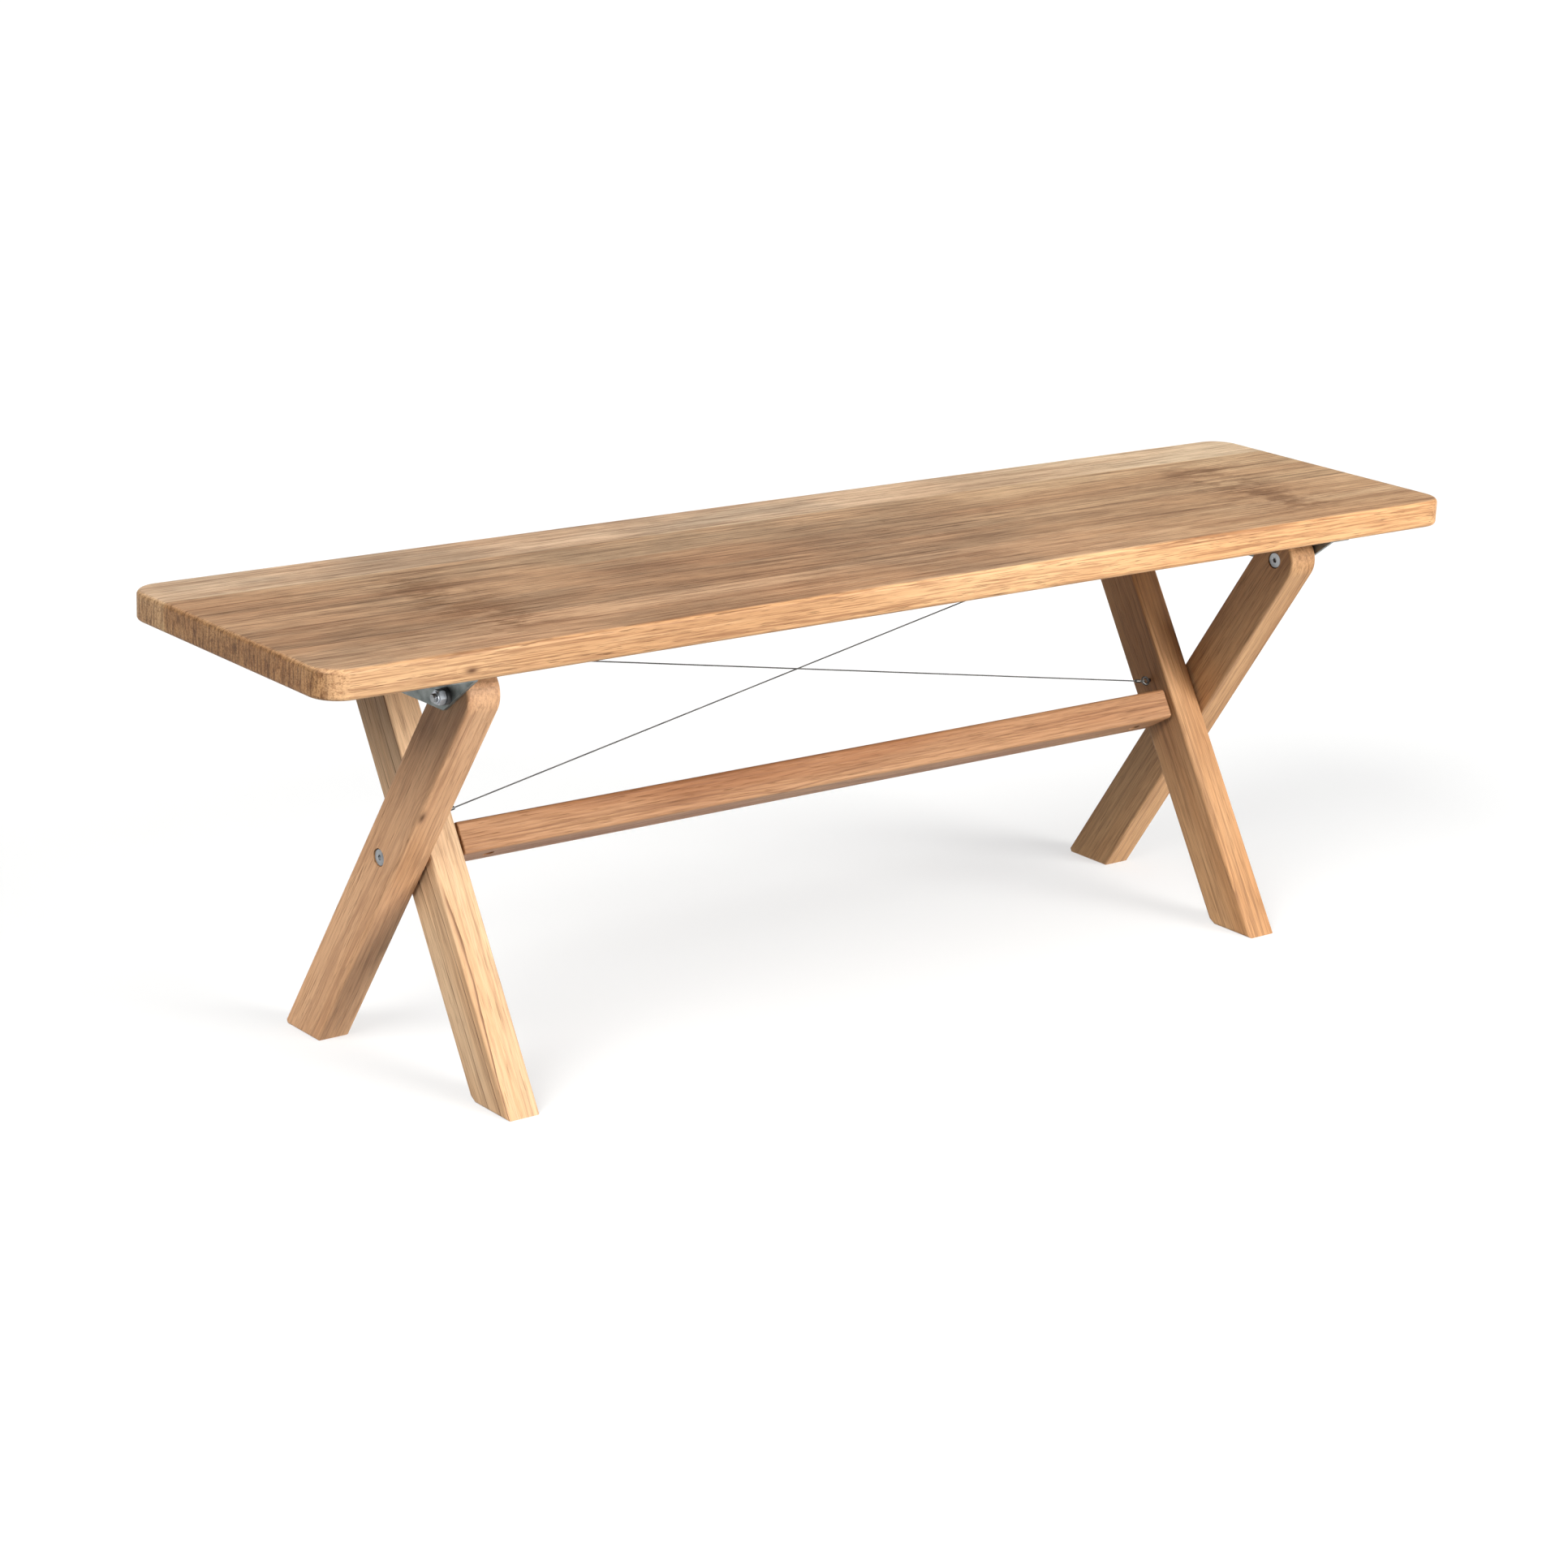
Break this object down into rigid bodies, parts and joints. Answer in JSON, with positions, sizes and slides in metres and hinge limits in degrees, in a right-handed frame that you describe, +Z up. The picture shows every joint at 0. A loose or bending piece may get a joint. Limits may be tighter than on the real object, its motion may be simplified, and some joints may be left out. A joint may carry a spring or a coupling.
{
  "type": "folding table",
  "caption": "Bench-height folding plank table: glued wooden top on two crossed pairs of legs, with a stretcher, bracket hinges and a crossed wire brace.",
  "frame": {"origin": "on the floor under the middle of the top, at the centre of the bounding box's bottom", "axes": "+X along the top's length, +Y to the back where the outer legs' feet stand, +Z up"},
  "size_m": [1.4, 0.35, 0.458],
  "materials": {
    "teak_top": "satin",
    "teak_frame": "satin",
    "dowel_wood": "matte",
    "bracket_steel": "satin",
    "fastener_steel": "satin",
    "wire_steel": "satin",
    "black_nylon": "matte"
  },
  "bodies": {
    "table": {"top_stave_1": "teak_top", "top_stave_2": "teak_top", "top_stave_3": "teak_top", "top_stave_4": "teak_top", "top_stave_5": "teak_top", "hinge_bracket_left": "bracket_steel", "hinge_bracket_right": "bracket_steel", "catch_bracket_left": "bracket_steel", "catch_bracket_right": "bracket_steel", "hinge_screws": "fastener_steel", "catch_screws": "fastener_steel", "hinge_bolt_left": "fastener_steel", "hinge_bolt_right": "fastener_steel", "hinge_spacer_left": "fastener_steel", "hinge_spacer_right": "fastener_steel", "hinge_washer_left": "black_nylon", "hinge_washer_right": "black_nylon", "hinge_nut_left": "fastener_steel", "hinge_nut_right": "fastener_steel"},
    "outer_legs": {"outer_leg_left": "teak_frame", "outer_leg_right": "teak_frame"},
    "inner_frame": {"inner_leg_left": "teak_frame", "inner_leg_right": "teak_frame", "stretcher": "teak_frame", "pivot_bolt_left": "fastener_steel", "pivot_bolt_right": "fastener_steel", "pivot_washer_left": "fastener_steel", "pivot_washer_right": "fastener_steel", "stretcher_sleeve_left": "fastener_steel", "stretcher_sleeve_right": "fastener_steel", "barrel_nut_left": "fastener_steel", "barrel_nut_right": "fastener_steel", "catch_bolt_left": "fastener_steel", "catch_bolt_right": "fastener_steel", "catch_spacer_left": "fastener_steel", "catch_spacer_right": "fastener_steel", "catch_washer_left": "fastener_steel", "catch_washer_right": "fastener_steel", "catch_nut_left": "fastener_steel", "catch_nut_right": "fastener_steel", "stretcher_dowels": "dowel_wood", "brace_wire_a": "wire_steel", "ferrule_lower_a": "wire_steel", "ferrule_upper_a": "wire_steel", "eye_lower_a": "wire_steel", "eye_upper_a": "wire_steel", "brace_wire_b": "wire_steel", "ferrule_lower_b": "wire_steel", "ferrule_upper_b": "wire_steel", "eye_lower_b": "wire_steel", "eye_upper_b": "wire_steel"}
  },
  "joints": [
    {"name": "fold", "type": "hinge", "parent": "table", "child": "outer_legs", "pos_m": [0, -0.11853, 0.40184], "axis": [1, 0, 0], "range_deg": [0, 57.4]},
    {"name": "scissor", "type": "hinge", "parent": "outer_legs", "child": "inner_frame", "pos_m": [0, 0, 0.2165], "axis": [1, 0, 0], "range_deg": [-116, 0]}
  ],
  "couplings": [
    {"joint": "scissor", "follows": "fold", "ratio": -2.0192}
  ]
}
